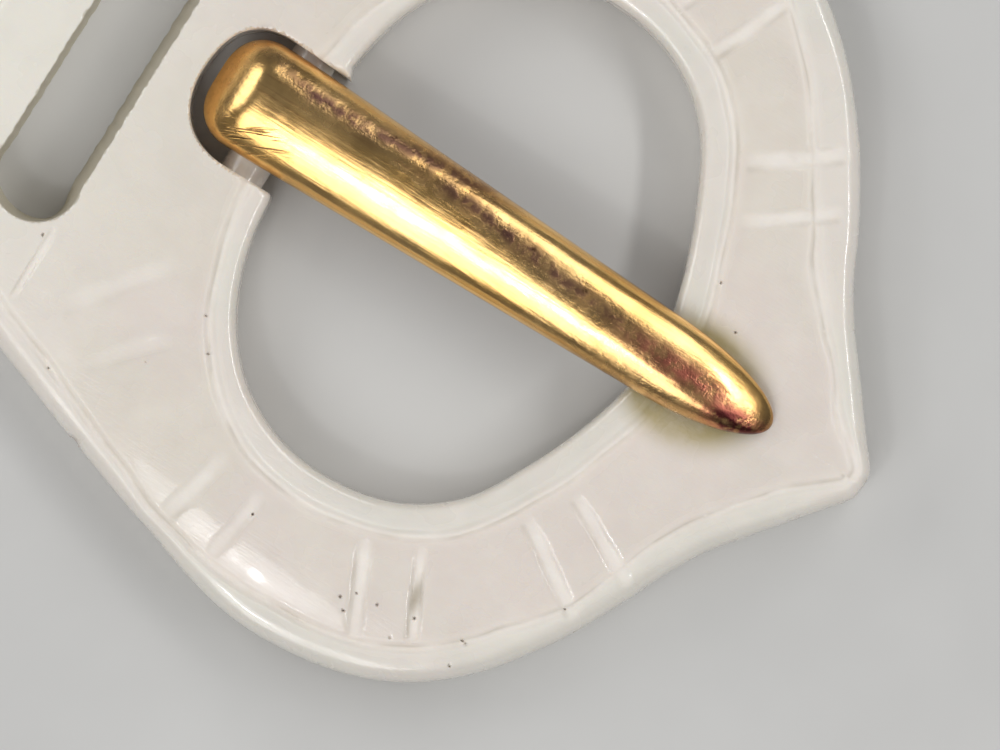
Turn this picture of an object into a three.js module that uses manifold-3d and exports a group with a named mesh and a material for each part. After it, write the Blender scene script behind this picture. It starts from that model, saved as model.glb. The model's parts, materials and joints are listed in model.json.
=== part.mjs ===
// A carved belt buckle: a pale plate with an oval opening and a strap slot, and a gilt tongue
// that turns on a wire pin and rests its tip on the plate's nose.
// Units are millimetres. +X runs from the strap end to the nose, +Z comes out of the carved face,
// and the origin is under the middle of the plate, on its back face.

import * as THREE from 'three';
import { mergeVertices } from 'three/addons/utils/BufferGeometryUtils.js';
import Module from 'manifold-3d';

const wasm = await Module();
wasm.setup();

// Plate
const PLATE_THICKNESS = 4.6;
const EDGE_ROUNDING = 0.5;
const NOSE_X = 28;
const STRAP_END_X = -28;
const HALF_WIDTH = 24.6;

// Strap slot: a straight slot with round ends, across the plate
const SLOT_NEAR_X = -17.2;
const SLOT_FAR_X = -21.9;
const SLOT_HALF_LENGTH = 12.1;

// Carved lines in the face: one inside the outer edge, one round the opening, short cuts between
const LINE_DEPTH = 0.2;
const LINE_TOOL_RADIUS = 0.6;
const EDGE_LINE_INSET = 1.7;
const OPENING_LINE_OFFSET = 1.8;
const TOOL_SIDES = 8;

// Hinge: lugs stand in from the notch's walls, and the knuckle turns between them
const HINGE_X = -10.1;
const HINGE_Z = 1.9;
const LUG_RADIUS = 1.3;
const KNUCKLE_RADIUS = 1.2;
const KNUCKLE_LENGTH = 2.6;
const KNUCKLE_Y = 0.4;
const SIDE_PLAY = 0.1;
const PIN_RADIUS = 0.35;
const BORE_RADIUS = 0.4;
const PIN_START_Y = -20.4;
const PIN_END_Y = 5.8;
const LUG_SIDES = 24;
const BORE_SIDES = 16;

// Tongue, measured from the hinge axis along its own length
const TONGUE_RISE = THREE.MathUtils.degToRad(3.1);
const TONGUE_YAW = THREE.MathUtils.degToRad(-0.66);
const TONGUE_Y = 0.45;
const TONGUE_HEEL = -3.9;
const TONGUE_TIP = 32.1;
const TONGUE_UNDERSIDE = 1.5;
const TONGUE_BEND = 24.1;
const HEEL_HALF_WIDTH = 3.2;
const FRONT_HALF_WIDTH = 2.42;
const HEEL_CORNER = 2.3;
const HEEL_BEVEL = 1.75;
const HEEL_EDGE = 0.4;
const HEEL_HEIGHT = 2.5;
const FRONT_HEIGHT = 2.1;
const TIP_LENGTH = 8;
const EDGE_SHARE = 0.35;
const CROWN_FULLNESS = 0.9;
const STATION_SPACING = 2.4;
const SECTION_POINTS = 24;
const SOLDER_GAP = 0.03;
const SADDLE_LENGTH = 1.9;

const shell = new THREE.MeshStandardMaterial({ color: 0xded8ce, roughness: 0.35, metalness: 0 });
const gilt = new THREE.MeshStandardMaterial({ color: 0xdcb464, roughness: 0.22, metalness: 1 });
const steel = new THREE.MeshStandardMaterial({ color: 0x6e5a4c, roughness: 0.55, metalness: 0.9 });

// ---- three.js geometry to and from manifold-3d ----

function solid(geometry) {
  const bare = new THREE.BufferGeometry();
  bare.setAttribute('position', geometry.getAttribute('position'));
  if (geometry.index) bare.setIndex(geometry.index);
  const merged = mergeVertices(bare, 1e-5);
  const vertProperties = new Float32Array(merged.getAttribute('position').array);
  const triVerts = new Uint32Array(merged.index.array);
  return new wasm.Manifold(new wasm.Mesh({ numProp: 3, vertProperties, triVerts }));
}

function geometryOf(manifold) {
  const mesh = manifold.getMesh();
  const geometry = new THREE.BufferGeometry();
  geometry.setAttribute('position', new THREE.BufferAttribute(mesh.vertProperties, 3));
  geometry.setIndex(new THREE.BufferAttribute(mesh.triVerts, 1));
  const flat = geometry.toNonIndexed();
  flat.computeVertexNormals();
  return flat;
}

// A round rod along Y, from yStart to yEnd, on the hinge axis.
function hingeRod(radius, yStart, yEnd, sides) {
  const rod = new THREE.CylinderGeometry(radius, radius, yEnd - yStart, sides);
  rod.translate(HINGE_X, (yStart + yEnd) / 2, HINGE_Z);
  return rod;
}

// ---- Plate ----

// One long side of the outline, from the nose to the strap end. The plate is carved by hand,
// so its two shoulders differ: bend is where the nose's slope turns, and shoulder holds the two
// control points of the curve from there to the widest place.
const NEAR_SIDE = { bend: [20.6, 11.6], shoulder: [[16.6, 20.25], [12.6, HALF_WIDTH]], widest: 3.6 };
const FAR_SIDE = { bend: [20.7, 11.1], shoulder: [[17.0, 18.2], [11.5, HALF_WIDTH]], widest: 2.6 };

function sidePath({ bend, shoulder, widest }) {
  const path = new THREE.Path();
  path.moveTo(NOSE_X, 0);
  path.lineTo(NOSE_X - 0.05, 0.6);
  path.quadraticCurveTo(NOSE_X - 0.12, 1.0, NOSE_X - 0.8, 1.75);
  path.lineTo(23.3, 6.7);
  path.quadraticCurveTo(21.7, 8.7, bend[0], bend[1]);
  path.bezierCurveTo(...shoulder[0], ...shoulder[1], widest, HALF_WIDTH);
  path.bezierCurveTo(0.6, HALF_WIDTH, -1.6, 23.6, -4.7, 22.7);
  path.quadraticCurveTo(-14.8, 19.6, -26.2, 14.7);
  path.quadraticCurveTo(STRAP_END_X, 13.9, STRAP_END_X, 11.9);
  path.lineTo(STRAP_END_X, 0);
  return path;
}

function mirrored(points) {
  return points.map((point) => new THREE.Vector2(point.x, -point.y));
}

function outline() {
  const far = sidePath(FAR_SIDE).getPoints(14);
  const near = mirrored(sidePath(NEAR_SIDE).getPoints(14)).reverse();
  return new THREE.Shape([...far, ...near.slice(1, -1)]);
}

// One half of the oval opening, from its front to the notch's mouth.
function openingSide(mouth) {
  const path = new THREE.Path();
  path.moveTo(14.3, 0);
  path.bezierCurveTo(14.3, 2.5, 13.3, 5.9, 11.0, 10.3);
  path.bezierCurveTo(9.0, 14.0, 5.6, 15.2, 2.2, 15.2);
  path.bezierCurveTo(-3.2, 15.2, -7.7, 11.0, -8.0, mouth);
  return path.getPoints(12);
}

// The notch, from its near wall's mouth round its back to its far wall's mouth.
const NOTCH_NEAR_Y = -3.65;
const NOTCH_FAR_Y = 4.1;
const NOTCH_BACK_X = -14.85;

function notchPoints() {
  const path = new THREE.Path();
  path.moveTo(-8.0, NOTCH_NEAR_Y);
  path.lineTo(-11.4, NOTCH_NEAR_Y);
  path.bezierCurveTo(-13.6, -3.5, NOTCH_BACK_X, -2.1, NOTCH_BACK_X, 0.2);
  path.bezierCurveTo(NOTCH_BACK_X, 2.7, -13.9, NOTCH_FAR_Y, -11.6, NOTCH_FAR_Y);
  path.lineTo(-8.0, NOTCH_FAR_Y);
  return path.getPoints(8);
}

function openingHole() {
  const near = mirrored(openingSide(-NOTCH_NEAR_Y));
  const far = openingSide(NOTCH_FAR_Y).reverse();
  const notch = notchPoints();
  return new THREE.Path([...near.slice(0, -1), ...notch, ...far.slice(1, -1)]);
}

function slotHole() {
  const radius = (SLOT_NEAR_X - SLOT_FAR_X) / 2;
  const middleX = (SLOT_NEAR_X + SLOT_FAR_X) / 2;
  const straight = SLOT_HALF_LENGTH - radius;
  const path = new THREE.Path();
  path.absarc(middleX, straight, radius, 0, Math.PI);
  path.absarc(middleX, -straight, radius, Math.PI, 2 * Math.PI);
  return path;
}

function plateGeometry() {
  const shape = outline();
  shape.holes.push(openingHole(), slotHole());
  const plate = new THREE.ExtrudeGeometry(shape, {
    depth: PLATE_THICKNESS - 2 * EDGE_ROUNDING,
    curveSegments: 10,
    bevelSize: EDGE_ROUNDING,
    bevelThickness: EDGE_ROUNDING,
    bevelOffset: -EDGE_ROUNDING,
    bevelSegments: 2,
  });
  plate.translate(0, 0, EDGE_ROUNDING);
  return plate;
}

// ---- Carved lines ----

// Moves each point of an open line sideways, to its left as it runs, and drops the points that
// come closer than that to the line itself, as they do inside a tight bend.
function offsetLine(points, distance) {
  const moved = points.map((point, index) => {
    const before = points[Math.max(index - 1, 0)];
    const after = points[Math.min(index + 1, points.length - 1)];
    const along = after.clone().sub(before).normalize();
    return new THREE.Vector2(point.x - along.y * distance, point.y + along.x * distance);
  });
  const isClear = (place) => points.every((point) => point.distanceTo(place) > 0.97 * distance);
  return moved.filter(isClear);
}

// Height of a cutter's centre, so that its round edge cuts LINE_DEPTH into the face.
const TOOL_HEIGHT = PLATE_THICKNESS + LINE_TOOL_RADIUS - LINE_DEPTH;

// A round cutter drawn along a line over the face.
function lineCutter(points) {
  const path = new THREE.CatmullRomCurve3(
    points.map((point) => new THREE.Vector3(point.x, point.y, TOOL_HEIGHT)),
    false,
    'centripetal',
  );
  const section = new THREE.Shape();
  section.absarc(0, 0, LINE_TOOL_RADIUS, 0, 2 * Math.PI);
  return new THREE.ExtrudeGeometry(section, {
    steps: points.length,
    curveSegments: TOOL_SIDES / 2,
    extrudePath: path,
  });
}

// Short cuts across the panel, each from its end by the opening to its end by the edge, given
// for one side and mirrored on the other.
const CUTS = [
  [[14.9, 8.9], [19.3, 11.5]],
  [[13.5, 11.6], [17.7, 14.4]],
  [[9.2, 16.0], [11.1, 20.0]],
  [[6.5, 17.4], [8.5, 21.6]],
  [[0.2, 18.2], [-0.3, 21.9]],
  [[-2.6, 17.7], [-3.5, 21.5]],
  [[-8.4, 12.5], [-11.6, 16.7]],
  [[-10.1, 9.9], [-14.3, 14.8]],
  [[-17.1, 12.0], [-17.1, 15.8]],
];

// A cutter with round ends for one short cut; side is 1 or -1.
function cutCutter([start, end], side) {
  const from = new THREE.Vector2(start[0], side * start[1]);
  const to = new THREE.Vector2(end[0], side * end[1]);
  const cutter = new THREE.CapsuleGeometry(LINE_TOOL_RADIUS, from.distanceTo(to), 2, TOOL_SIDES);
  cutter.rotateZ(to.clone().sub(from).angle() - Math.PI / 2);
  cutter.translate((from.x + to.x) / 2, (from.y + to.y) / 2, TOOL_HEIGHT);
  return cutter;
}

function lineCutters() {
  const farEdge = sidePath(FAR_SIDE).getPoints(10);
  const nearEdge = mirrored(sidePath(NEAR_SIDE).getPoints(10));
  const farOpening = openingSide(0);
  const nearOpening = mirrored(farOpening);
  return [
    lineCutter(offsetLine(farEdge, EDGE_LINE_INSET)),
    lineCutter(offsetLine(nearEdge, -EDGE_LINE_INSET)),
    lineCutter(offsetLine(farOpening, -OPENING_LINE_OFFSET)),
    lineCutter(offsetLine(nearOpening, OPENING_LINE_OFFSET)),
    ...CUTS.flatMap((cut) => [cutCutter(cut, 1), cutCutter(cut, -1)]),
  ];
}

function frameGeometry() {
  const halfKnuckle = KNUCKLE_LENGTH / 2 + SIDE_PLAY;
  const nearLug = hingeRod(LUG_RADIUS, NOTCH_NEAR_Y - 1, KNUCKLE_Y - halfKnuckle, LUG_SIDES);
  const farLug = hingeRod(LUG_RADIUS, KNUCKLE_Y + halfKnuckle, NOTCH_FAR_Y + 1, LUG_SIDES);
  const bore = hingeRod(BORE_RADIUS, -HALF_WIDTH, PIN_END_Y + SIDE_PLAY, BORE_SIDES);
  const body = solid(plateGeometry()).add(solid(nearLug)).add(solid(farLug));
  const cutters = [bore, ...lineCutters()].map(solid);
  return geometryOf(cutters.reduce((left, cutter) => left.subtract(cutter), body));
}

// ---- Tongue ----

// Half the tongue's width at a place along it: round heel corners, a long taper, a round tip.
function tongueHalfWidth(along) {
  const fromHeel = along - TONGUE_HEEL;
  const fromTip = TONGUE_TIP - along;
  const taper = THREE.MathUtils.clamp(along / TONGUE_BEND, 0, 1);
  let half = THREE.MathUtils.lerp(HEEL_HALF_WIDTH, FRONT_HALF_WIDTH, taper);
  if (fromHeel < HEEL_CORNER) {
    const short = HEEL_CORNER - fromHeel;
    half += Math.sqrt(Math.max(0, HEEL_CORNER ** 2 - short ** 2)) - HEEL_CORNER;
  }
  if (fromTip < TIP_LENGTH) half *= tipRounding(fromTip);
  return half;
}

// The tip is half an ellipse in plan and in side view: from 1 where it starts to 0 at its end.
function tipRounding(fromTip) {
  const short = 1 - fromTip / TIP_LENGTH;
  return Math.sqrt(Math.max(0, 1 - short ** 2));
}

// How far the crown stands above the underside: a bevelled heel, a slight taper, a round tip.
function tongueHeight(along) {
  const fromHeel = along - TONGUE_HEEL;
  const fromTip = TONGUE_TIP - along;
  const taper = THREE.MathUtils.clamp(along / TONGUE_BEND, 0, 1);
  let height = THREE.MathUtils.lerp(HEEL_HEIGHT, FRONT_HEIGHT, taper);
  if (fromHeel < HEEL_BEVEL) {
    height = THREE.MathUtils.lerp(HEEL_EDGE, HEEL_HEIGHT, fromHeel / HEEL_BEVEL);
  }
  if (fromTip < TIP_LENGTH) height *= tipRounding(fromTip);
  return height;
}

// The underside is straight up to the bend and then level with the plate's face.
function tongueUnderside(along) {
  return TONGUE_UNDERSIDE - Math.max(0, along - TONGUE_BEND) * Math.tan(TONGUE_RISE);
}

// Places along the tongue: close together at the heel and at the tip, where it is round.
function tongueStations() {
  const stations = [];
  for (let step = 0; step <= 8; step += 1) {
    stations.push(TONGUE_HEEL + HEEL_BEVEL * (1 - Math.cos((step / 8) * (Math.PI / 2))));
  }
  const tipStart = TONGUE_TIP - TIP_LENGTH;
  for (let along = 0; along < tipStart; along += STATION_SPACING) stations.push(along);
  for (let step = 0; step <= 9; step += 1) {
    stations.push(tipStart + TIP_LENGTH * Math.sin((step / 10) * (Math.PI / 2)));
  }
  stations.push(TONGUE_TIP - 0.01);
  return stations;
}

// One point of the D-shaped section: turn goes from 0 at one edge over the crown to 0.5 at the
// other edge, and back along the flat underside to 1.
function sectionPoint(along, turn) {
  const half = tongueHalfWidth(along);
  const height = tongueHeight(along);
  const edge = Math.min(HEEL_EDGE, EDGE_SHARE * height);
  const base = tongueUnderside(along);
  if (turn <= 0.5) {
    const angle = turn * 2 * Math.PI;
    const across = half * Math.cos(angle);
    const rise = (height - edge) * Math.sin(angle) ** CROWN_FULLNESS;
    return new THREE.Vector3(along, across, base + edge + rise);
  }
  return new THREE.Vector3(along, half * (4 * turn - 3), base);
}

// A closed loft through the sections: a cylinder's rings are moved onto the stations.
function tongueGeometry() {
  const stations = tongueStations();
  const rings = stations.length - 1;
  const loft = new THREE.CylinderGeometry(1, 1, rings, SECTION_POINTS, rings);
  const position = loft.getAttribute('position');
  const vertex = new THREE.Vector3();
  for (let index = 0; index < position.count; index += 1) {
    vertex.fromBufferAttribute(position, index);
    const along = stations[Math.round(vertex.y + rings / 2)];
    if (Math.hypot(vertex.x, vertex.z) < 0.5) {
      vertex.set(along, 0, tongueUnderside(along) + EDGE_SHARE * tongueHeight(along));
    } else {
      const turn = (Math.atan2(vertex.x, vertex.z) / (2 * Math.PI) + 1) % 1;
      vertex.copy(sectionPoint(along, turn));
    }
    position.setXYZ(index, vertex.x, vertex.y, vertex.z);
  }
  return geometryOf(solid(loft));
}

// ---- Knuckle and pin ----

function knuckleGeometry() {
  const length = KNUCKLE_LENGTH;
  const tube = new THREE.CylinderGeometry(KNUCKLE_RADIUS, KNUCKLE_RADIUS, length, LUG_SIDES);
  const saddleHeight = TONGUE_UNDERSIDE - SOLDER_GAP;
  const saddle = new THREE.BoxGeometry(SADDLE_LENGTH, length, saddleHeight);
  saddle.translate(0, 0, saddleHeight / 2);
  const bore = new THREE.CylinderGeometry(BORE_RADIUS, BORE_RADIUS, length + 1, BORE_SIDES);
  return geometryOf(solid(tube).add(solid(saddle)).subtract(solid(bore)));
}

function pinGeometry() {
  return hingeRod(PIN_RADIUS, PIN_START_Y, PIN_END_Y, BORE_SIDES);
}

// ---- Assembly ----

function named(name, geometry, material) {
  const mesh = new THREE.Mesh(geometry, material);
  mesh.name = name;
  return mesh;
}

const buckle = new THREE.Group();
buckle.add(named('frame', frameGeometry(), shell));
buckle.add(named('hinge_pin', pinGeometry(), steel));

const turning = new THREE.Group();
turning.position.set(HINGE_X, 0, HINGE_Z);
turning.rotation.y = -TONGUE_RISE;
buckle.add(turning);

const knuckle = named('tongue_knuckle', knuckleGeometry(), gilt);
knuckle.position.y = KNUCKLE_Y;
turning.add(knuckle);

const tongue = named('tongue', tongueGeometry(), gilt);
tongue.position.y = TONGUE_Y;
tongue.rotation.z = TONGUE_YAW;
turning.add(tongue);

export default buckle;
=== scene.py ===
"""Looks of the carved buckle: a hand-carved shell plate, a gilt tongue, its knuckle and its pin.

Shapes are worked out in millimetres, in the CAD's frame: +X runs from the strap end to the nose
and +Z comes out of the carved face. They become metres when a mesh is made.
"""

import json
import math

import bpy
import numpy as np
from mathutils import Matrix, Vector
from mathutils.geometry import delaunay_2d_cdt
from mathutils.kdtree import KDTree


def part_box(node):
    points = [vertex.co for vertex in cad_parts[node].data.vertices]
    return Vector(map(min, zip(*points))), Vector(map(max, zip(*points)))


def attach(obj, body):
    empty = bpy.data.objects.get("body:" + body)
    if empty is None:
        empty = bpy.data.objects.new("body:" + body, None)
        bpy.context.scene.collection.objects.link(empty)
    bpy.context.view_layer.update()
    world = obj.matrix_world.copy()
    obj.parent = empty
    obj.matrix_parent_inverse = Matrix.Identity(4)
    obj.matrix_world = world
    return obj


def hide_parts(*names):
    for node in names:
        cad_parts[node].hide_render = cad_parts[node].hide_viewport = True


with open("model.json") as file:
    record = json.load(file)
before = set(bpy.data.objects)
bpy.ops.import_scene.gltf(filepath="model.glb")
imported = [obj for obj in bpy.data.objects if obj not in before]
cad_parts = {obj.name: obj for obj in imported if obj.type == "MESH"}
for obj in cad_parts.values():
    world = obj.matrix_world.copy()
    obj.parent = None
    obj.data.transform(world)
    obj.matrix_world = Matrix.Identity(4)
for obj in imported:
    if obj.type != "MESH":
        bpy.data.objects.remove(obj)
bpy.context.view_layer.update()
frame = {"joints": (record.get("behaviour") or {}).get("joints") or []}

MM = 0.001


def box_mm(node):
    low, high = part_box(node)
    return np.array(low) / MM, np.array(high) / MM


plate_low, plate_high = box_mm("frame")
pin_low, pin_high = box_mm("hinge_pin")
knuckle_low, knuckle_high = box_mm("tongue_knuckle")
tongue_low, tongue_high = box_mm("tongue")
NOSE_X = plate_high[0]
STRAP_END_X = plate_low[0]
HALF_WIDTH = plate_high[1]
FACE_Z = plate_high[2]
HINGE = np.array(frame["joints"][0]["pos_m"]) / MM


# ---------------------------------------------------------------- curves in the plate's plane

CURVE_POINTS = 40


def bezier(*controls):
    """Points on the Bezier curve with those control points, without its last point."""
    share = np.linspace(0, 1, CURVE_POINTS, endpoint=False)[:, None]
    rows = [np.tile(np.array(point, float), (CURVE_POINTS, 1)) for point in controls]
    while len(rows) > 1:
        rows = [a + (b - a) * share for a, b in zip(rows, rows[1:])]
    return rows[0]


def path(start, *stretches):
    """A line through stretches, each the control points that follow the last point."""
    pieces = []
    for controls in stretches:
        pieces.append(bezier(start, *controls))
        start = controls[-1]
    return np.vstack(pieces + [np.array([start], float)])


def mirrored(points):
    return points * (1, -1)


def evenly(loop, spacing):
    """The same closed loop with its points at even steps along it."""
    closed = np.vstack([loop, loop[:1]])
    steps = np.linalg.norm(np.diff(closed, axis=0), axis=1)
    places = np.concatenate([[0], np.cumsum(steps)])
    at = np.linspace(0, places[-1], max(2, round(places[-1] / spacing)), endpoint=False)
    return np.column_stack([np.interp(at, places, closed[:, axis]) for axis in (0, 1)])


def left_normals(loop):
    """Unit normals on the left of a closed loop as it runs: the side of the material."""
    along = np.roll(loop, -1, axis=0) - np.roll(loop, 1, axis=0)
    along /= np.linalg.norm(along, axis=1)[:, None]
    return np.column_stack([-along[:, 1], along[:, 0]])


def distance_to_segment(points, start, end):
    """Distance from each point to a straight segment, which may differ from point to point."""
    step = end - start
    share = ((points - start) * step).sum(-1) / np.maximum((step**2).sum(-1), 1e-12)
    gap = points - start - np.clip(share, 0, 1)[:, None] * step
    return np.sqrt((gap**2).sum(1))


def distance_to(points, loop):
    """Distance from each point to a closed loop of short segments."""
    tree = KDTree(len(loop))
    for index, (x, y) in enumerate(loop.tolist()):
        tree.insert((x, y, 0), index)
    tree.balance()
    nearest = np.array([tree.find((x, y, 0))[1] for x, y in points.tolist()])
    before, after = loop[nearest - 1], loop[(nearest + 1) % len(loop)]
    return np.minimum(
        distance_to_segment(points, loop[nearest], before),
        distance_to_segment(points, loop[nearest], after),
    )


def inside(points, loop):
    """Whether each point is inside a closed loop, by counting crossings."""
    x, y = points[:, 0], points[:, 1]
    found = np.zeros(len(points), bool)
    ends = np.roll(loop, -1, axis=0)
    for (x0, y0), (x1, y1) in zip(loop, ends):
        if y0 == y1:
            continue
        spans = (y0 > y) != (y1 > y)
        found ^= spans & (x < x0 + (y - y0) * (x1 - x0) / (y1 - y0))
    return found


def waves(x, y, size, seed):
    """Smooth unevenness, mostly between -1 and 1, with bumps about size apart."""
    rng = np.random.default_rng(seed)
    total = np.zeros(np.shape(x))
    for _ in range(7):
        angle, phase = rng.uniform(0, 2 * math.pi, 2)
        rate = 2 * math.pi / size * rng.uniform(0.7, 1.4)
        total += np.sin(rate * (x * math.cos(angle) + y * math.sin(angle)) + phase)
    return total / 3


# ---------------------------------------------------------------- the plate's outline and holes

NOTCH_NEAR_Y = -3.65
NOTCH_FAR_Y = 4.1
NOTCH_BACK_X = -14.85
MOUTH_X = -8.0
SLOT_NEAR_X = -17.05
SLOT_FAR_X = -21.9
SLOT_HALF_LENGTH = 12.1
SLOT_END_RADIUS = 2.5
SLOT_UNDERCUT = 0.8
CARVING_WOBBLE = 0.03

# Steps between mesh points along each edge.
OUTER_STEP = 0.3
OPENING_STEP = 0.25
SLOT_STEP = 0.16


def outline_side(bend, shoulder, widest):
    """One long side of the outline, from the nose to the strap end."""
    return path(
        (NOSE_X, 0),
        [(NOSE_X - 0.05, 0.6)],
        [(NOSE_X - 0.12, 1.0), (NOSE_X - 0.8, 1.75)],
        [(23.3, 6.7)],
        [(21.7, 8.7), bend],
        [*shoulder, (widest, HALF_WIDTH)],
        [(0.6, HALF_WIDTH), (-1.6, 23.6), (-4.7, 22.7)],
        [(-14.8, 19.6), (-26.2, 14.7)],
        [(STRAP_END_X, 13.9), (STRAP_END_X, 11.9)],
        [(STRAP_END_X, 0)],
    )


def opening_side(mouth_y):
    """Half of the oval opening, from its front to the notch's mouth."""
    return path(
        (14.3, 0),
        [(14.3, 2.5), (13.3, 5.9), (11.0, 10.3)],
        [(9.0, 14.0), (5.6, 15.2), (2.2, 15.2)],
        [(-3.2, 15.2), (-7.7, 11.0), (MOUTH_X, mouth_y)],
    )


def carved(loop, seed):
    """A loop with the slight wobble of hand carving, always into the material."""
    wobble = 0.5 + 0.5 * np.clip(waves(loop[:, 0], loop[:, 1], 6, seed), -1, 1)
    return loop + left_normals(loop) * (CARVING_WOBBLE * wobble)[:, None]


def outer_loop():
    near = outline_side((20.6, 11.6), [(16.6, 20.25), (12.6, HALF_WIDTH)], 3.6)
    far = outline_side((20.7, 11.1), [(17.0, 18.2), (11.5, HALF_WIDTH)], 2.6)
    loop = np.vstack([far[:-1], mirrored(near)[::-1][:-1]])
    return carved(evenly(loop, OUTER_STEP), seed=11)


def opening_loop():
    notch = path(
        (MOUTH_X - 0.1, NOTCH_NEAR_Y),
        [(-11.4, NOTCH_NEAR_Y)],
        [(-13.6, -3.5), (NOTCH_BACK_X, -2.1), (NOTCH_BACK_X, 0.2)],
        [(NOTCH_BACK_X, 2.7), (-13.9, NOTCH_FAR_Y), (-11.6, NOTCH_FAR_Y)],
        [(MOUTH_X + 0.35, NOTCH_FAR_Y - 0.15)],
    )
    near = mirrored(opening_side(-NOTCH_NEAR_Y))
    far = opening_side(NOTCH_FAR_Y)[::-1]
    loop = np.vstack([near[:-1], notch, far[1:-1]])
    return carved(evenly(loop, OPENING_STEP), seed=12)


def slot_loop():
    """The strap slot: two drilled ends, a little wider than the sawn cut between them."""
    middle = (SLOT_NEAR_X + SLOT_FAR_X) / 2
    half = (SLOT_NEAR_X - SLOT_FAR_X) / 2
    centre_y = SLOT_HALF_LENGTH - SLOT_END_RADIUS
    reach = math.acos(half / SLOT_END_RADIUS)
    turn = np.linspace(-reach, math.pi + reach, 30)
    end = np.column_stack([np.cos(turn), np.sin(turn)]) * SLOT_END_RADIUS
    loop = np.vstack([end + (middle, centre_y), -end + (middle, -centre_y)])[::-1]
    loop = evenly(loop, SLOT_STEP)
    ragged = np.clip(waves(loop[:, 0] * 3, loop[:, 1], 0.9, seed=13), -1, 1)
    sawn = np.clip((centre_y - np.abs(loop[:, 1])) / 1.5, 0, 1)
    return loop + left_normals(loop) * (0.035 * ragged * sawn)[:, None]


def slot_back_loop(loop):
    """The slot at the plate's back, where its nose side and its -Y end were left further in."""
    x, y = loop.T
    middle = (SLOT_NEAR_X + SLOT_FAR_X) / 2
    nose_side = np.clip((x - middle) / 2, 0, 1)
    nose_side *= np.clip((SLOT_HALF_LENGTH - np.abs(y)) / SLOT_END_RADIUS, 0, 1)
    end = np.clip((-y - SLOT_HALF_LENGTH + SLOT_END_RADIUS) / SLOT_END_RADIUS, 0, 1)
    return loop - np.column_stack([SLOT_UNDERCUT * nose_side, -0.4 * SLOT_UNDERCUT * end])


OUTER = outer_loop()
OPENING = opening_loop()
SLOT = slot_loop()
SLOT_BACK = slot_back_loop(SLOT)
OVAL = np.vstack([opening_side(0)[:-1], mirrored(opening_side(0))[::-1][:-1]])


# ---------------------------------------------------------------- the carved face

# How far the line inside the edge keeps from it, at places along the plate, on each side.
NEAR_LINE = [(-28, 1.6), (-14, 1.6), (-9, 1.35), (-4.7, 1.0), (-1.5, 1.1), (1, 1.6), (4, 1.9)]
NEAR_LINE += [(15, 1.9), (17.8, 1.35), (20, 1.8), (24, 1.85), (28, 0.9)]
FAR_LINE = [(-28, 1.6), (-10, 1.5), (-5, 1.2), (2, 1.7), (8, 1.9), (13, 2.3), (17, 2.6)]
FAR_LINE += [(19, 2.35), (21, 1.7), (22.5, 1.45), (24.5, 1.4), (26, 1.1), (28, 0.8)]
OPENING_LINE = 1.8

# Short cuts across the panel: both ends, width and depth. The near side's come first.
CUTS = [
    ((15.1, -9.0), (19.6, -11.35), 1.05, 0.17),
    ((13.5, -11.5), (18.0, -14.4), 1.1, 0.16),
    ((9.3, -16.0), (11.3, -20.1), 0.9, 0.24),
    ((6.4, -17.2), (8.5, -21.7), 1.1, 0.2),
    ((0.2, -18.2), (-0.4, -22.0), 1.1, 0.13),
    ((-2.7, -17.6), (-3.6, -21.6), 1.3, 0.11),
    ((-8.7, -13.6), (-11.7, -16.8), 1.3, 0.045),
    ((-10.6, -9.9), (-14.4, -14.8), 1.4, 0.05),
    ((-17.1, -11.7), (-17.1, -15.9), 0.55, 0.14),
    ((14.7, 8.8), (18.8, 11.8), 1.15, 0.14),
    ((13.2, 11.7), (17.3, 14.7), 1.3, 0.16),
    ((8.4, 15.7), (10.2, 20.0), 1.15, 0.19),
    ((5.5, 17.2), (7.5, 21.7), 1.15, 0.18),
    ((0.4, 18.2), (0.1, 21.9), 0.9, 0.2),
    ((-2.5, 17.7), (-3.2, 21.6), 1.0, 0.2),
    ((-8.3, 12.6), (-11.4, 16.9), 0.9, 0.14),
    ((-10.3, 9.7), (-14.2, 14.9), 0.9, 0.14),
    ((-17.1, 11.7), (-17.1, 15.9), 0.55, 0.14),
]

# Dark pinholes and nicks: place, radius and depth.
PITS = [
    ((6.8, -20.35), 0.15, 0.25),
    ((7.35, -20.9), 0.13, 0.25),
    ((7.45, -19.7), 0.12, 0.2),
    ((8.75, -19.65), 0.1, 0.2),
    ((10.9, -19.2), 0.12, 0.25),
    ((13.75, -18.85), 0.1, 0.25),
    ((14.0, -18.9), 0.12, 0.2),
    ((13.9, -20.4), 0.13, 0.2),
    ((10.3, -20.8), 0.12, 0.15),
    ((17.6, -14.4), 0.1, 0.2),
    ((15.4, 5.3), 0.13, 0.25),
    ((17.5, 3.4), 0.1, 0.2),
    ((0.35, -19.05), 0.11, 0.25),
    ((-6.4, -12.9), 0.1, 0.2),
    ((-7.6, -11.2), 0.1, 0.2),
    ((-17.5, -12.15), 0.12, 0.25),
    ((-9.0, -15.1), 0.09, 0.15),
    ((-13.4, -18.2), 0.11, 0.2),
    ((-15.0, 18.0), 0.12, 0.2),
    ((-24.6, -6.0), 0.11, 0.2),
    ((2.0, 19.6), 0.1, 0.2),
    ((-5.0, 18.1), 0.12, 0.2),
]


def soft_cut(distance, width):
    """Section of a carved line: 1 along its middle, 0 from half its width away."""
    share = np.clip(1 - 2 * np.abs(distance) / width, 0, 1)
    return share * share * (3 - 2 * share)


def channel(distance, width):
    """Section of a scraped cut: 1 over its flat middle, with short soft sides."""
    share = np.clip(1.6 * (1 - 2 * np.abs(distance) / width), 0, 1)
    return share * share * (3 - 2 * share)


def rounded_edge(distance, width, drop):
    """How far an edge's rounding has fallen, at a distance in from the edge."""
    short = np.clip(1 - distance / np.maximum(width, 1e-6), 0, 1)
    return drop * (1 - np.sqrt(1 - short**2))


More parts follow.
